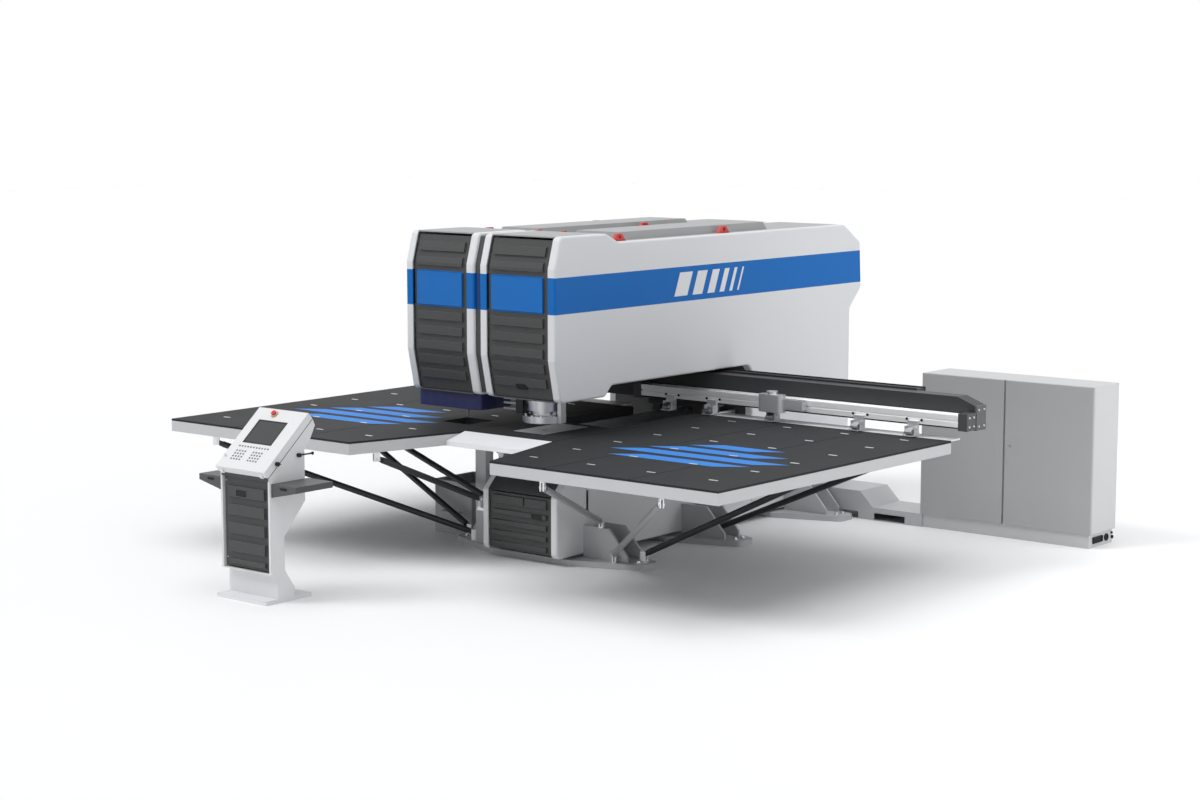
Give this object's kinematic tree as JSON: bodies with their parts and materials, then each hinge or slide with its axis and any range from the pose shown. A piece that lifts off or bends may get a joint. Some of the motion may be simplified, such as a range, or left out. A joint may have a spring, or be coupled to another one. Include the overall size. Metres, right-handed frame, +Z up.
{
  "type": "punch-laser combination machine",
  "caption": "C-frame sheet-metal machine with a punch arm beside a laser arm, sheet tables on struts, a cross beam with clamp carriage, a switch cabinet and a console.",
  "frame": {"origin": "on the floor under the punch axis", "axes": "+X to the right along the cross beam, +Y from the operator's side to the rear, +Z up"},
  "size_m": [6.038, 6.513, 2.53],
  "materials": {
    "white_paint": "satin white paint",
    "dark_paint": "satin anthracite paint",
    "frame_grey": "matt primer",
    "rim_grey": "satin light-grey paint",
    "bare_steel": "ground steel",
    "bright_aluminium": "natural anodised",
    "black_plastic": "matt black",
    "navy_cloth": "coated curtain cloth",
    "red_plastic": "glossy red",
    "screen_face": "glossy dark",
    "cabinet_paint": "fine-textured light-grey paint",
    "table_black": "matt dark-grey coat"
  },
  "bodies": {
    "machine": {"c_frame": "frame_grey", "laser_frame": "frame_grey", "arm_side_right": "white_paint", "arm_side_left": "white_paint", "arm_inner_sides": "white_paint", "arm_covers": "white_paint", "arm_floors": "dark_paint", "hood_filler": "dark_paint", "lifting_lugs": "red_plastic", "base_sides": "white_paint", "punch_cylinder": "bare_steel", "punch_flange": "bare_steel", "stripper_ring": "bare_steel", "die_holder": "bare_steel", "tool_changer": "black_plastic", "laser_curtain": "navy_cloth", "table_frames": "rim_grey", "table_plates": "table_black", "center_table": "table_black", "table_inserts": "bright_aluminium", "table_aprons": "white_paint", "struts_grey": "rim_grey", "struts_black": "black_plastic", "strut_forks": "rim_grey", "feet": "rim_grey", "y_guides": "bare_steel", "cabinet_body": "cabinet_paint", "cabinet_modules": "rim_grey", "cable_duct": "rim_grey", "console_body": "white_paint", "console_shelves": "dark_paint", "scrap_bin": "rim_grey", "support_post": "rim_grey"},
    "cross_beam": {"beam_saddle": "dark_paint", "x_beam": "dark_paint", "beam_ends": "rim_grey", "cable_tray": "black_plastic"},
    "clamp_carriage": {"clamp_rail": "bright_aluminium", "rail_ends": "dark_paint", "clamp_bodies": "bright_aluminium"},
    "jaws": {"clamp_jaws": "bare_steel"},
    "tool_holder": {"tool_ring": "bare_steel"},
    "ram": {"punch_ram": "bare_steel"},
    "die": {"die_ring": "bare_steel"},
    "cutting_head": {"laser_head": "bright_aluminium"},
    "punch_hood_door": {"hood_door_right": "dark_paint"},
    "punch_hood_latch": {"hood_latch": "black_plastic"},
    "laser_hood_door": {"hood_door_left": "dark_paint"},
    "base_front_door": {"base_door": "dark_paint"},
    "base_door_latch": {"base_latch": "black_plastic"},
    "console_front_door": {"console_door": "dark_paint"},
    "console_door_latch": {"console_latch": "black_plastic"},
    "cabinet_left": {"cabinet_door_left": "cabinet_paint"},
    "cabinet_right": {"cabinet_door_right": "cabinet_paint"},
    "panel_lid": {"console_lid": "white_paint", "console_screen": "screen_face"},
    "stop": {"stop_button": "red_plastic"},
    "key": {"key_switch": "bare_steel"},
    "knob": {"lid_knob": "black_plastic"},
    "lever": {"lid_lever": "black_plastic"}
  },
  "joints": [
    {"name": "y_axis", "type": "slide", "parent": "machine", "child": "cross_beam", "axis": [0, 1, 0], "range_m": [-1.25, 0]},
    {"name": "x_axis", "type": "slide", "parent": "cross_beam", "child": "clamp_carriage", "axis": [1, 0, 0], "range_m": [-2.5, 0]},
    {"name": "clamp_grip", "type": "hinge", "parent": "clamp_carriage", "child": "jaws", "pos_m": [1.095, 1.52, 1.056], "axis": [1, 0, 0], "range_deg": [-20, 0]},
    {"name": "tool_rotation", "type": "hinge", "parent": "machine", "child": "tool_holder", "pos_m": [0, 0, 1.18], "axis": [0, 0, 1], "continuous": true},
    {"name": "punch_stroke", "type": "slide", "parent": "tool_holder", "child": "ram", "axis": [0, 0, 1], "range_m": [-0.075, 0]},
    {"name": "die_rotation", "type": "hinge", "parent": "machine", "child": "die", "pos_m": [0, 0, 0.97], "axis": [0, 0, 1], "continuous": true},
    {"name": "laser_height", "type": "slide", "parent": "machine", "child": "cutting_head", "axis": [0, 0, 1], "range_m": [-0.03, 0]},
    {"name": "punch_hood_hinge", "type": "hinge", "parent": "machine", "child": "punch_hood_door", "pos_m": [-0.3015, -0.289, 1.9], "axis": [0, 0, -1], "range_deg": [0, 90]},
    {"name": "punch_hood_latch_pull", "type": "hinge", "parent": "punch_hood_door", "child": "punch_hood_latch", "pos_m": [0, -0.2692, 1.38531], "axis": [-1, 0, 0], "range_deg": [0, 28]},
    {"name": "laser_hood_hinge", "type": "hinge", "parent": "machine", "child": "laser_hood_door", "pos_m": [-1.0905, -0.289, 1.9], "axis": [0, 0, -1], "range_deg": [0, 90]},
    {"name": "base_door_hinge", "type": "hinge", "parent": "machine", "child": "base_front_door", "pos_m": [-0.3135, -0.271, 0.3], "axis": [0, 0, -1], "range_deg": [0, 90]},
    {"name": "base_latch_pull", "type": "hinge", "parent": "base_front_door", "child": "base_door_latch", "pos_m": [0.177, -0.295, 0.3897], "axis": [-1, 0, 0], "range_deg": [0, 28]},
    {"name": "console_door_hinge", "type": "hinge", "parent": "machine", "child": "console_front_door", "pos_m": [-0.36, -2.555, 0.5], "axis": [0, 0, 1], "range_deg": [0, 90]},
    {"name": "console_latch_pull", "type": "hinge", "parent": "console_front_door", "child": "console_door_latch", "pos_m": [-0.631, -2.579, 0.7897], "axis": [-1, 0, 0], "range_deg": [0, 28]},
    {"name": "cabinet_left_hinge", "type": "hinge", "parent": "machine", "child": "cabinet_left", "pos_m": [1.6, 2.957, 0.7], "axis": [0, 0, -1], "range_deg": [0, 95]},
    {"name": "cabinet_right_hinge", "type": "hinge", "parent": "machine", "child": "cabinet_right", "pos_m": [3.178, 2.957, 0.7], "axis": [0, 0, 1], "range_deg": [0, 115]},
    {"name": "panel_hinge", "type": "hinge", "parent": "machine", "child": "panel_lid", "pos_m": [-0.588, -2.59552, 0.90982], "axis": [1, 0, 0], "range_deg": [0, 70]},
    {"name": "stop_press", "type": "slide", "parent": "panel_lid", "child": "stop", "axis": [0, 0.658, -0.753], "range_m": [0, 0.006], "stiffness_N_per_m": 900},
    {"name": "key_turn", "type": "hinge", "parent": "panel_lid", "child": "key", "pos_m": [-0.812, -2.55895, 1.02146], "axis": [0, -0.658, 0.753], "range_deg": [0, 90]},
    {"name": "knob_turn", "type": "hinge", "parent": "panel_lid", "child": "knob", "pos_m": [-0.3205, -2.516, 1.005], "axis": [1, 0, 0], "range_deg": [0, 90]},
    {"name": "lever_swing", "type": "hinge", "parent": "machine", "child": "lever", "pos_m": [-0.318, -2.308, 1.045], "axis": [1, 0, 0], "range_deg": [0, 80]}
  ],
  "couplings": [
    {"joint": "die_rotation", "follows": "tool_rotation", "ratio": 1}
  ]
}
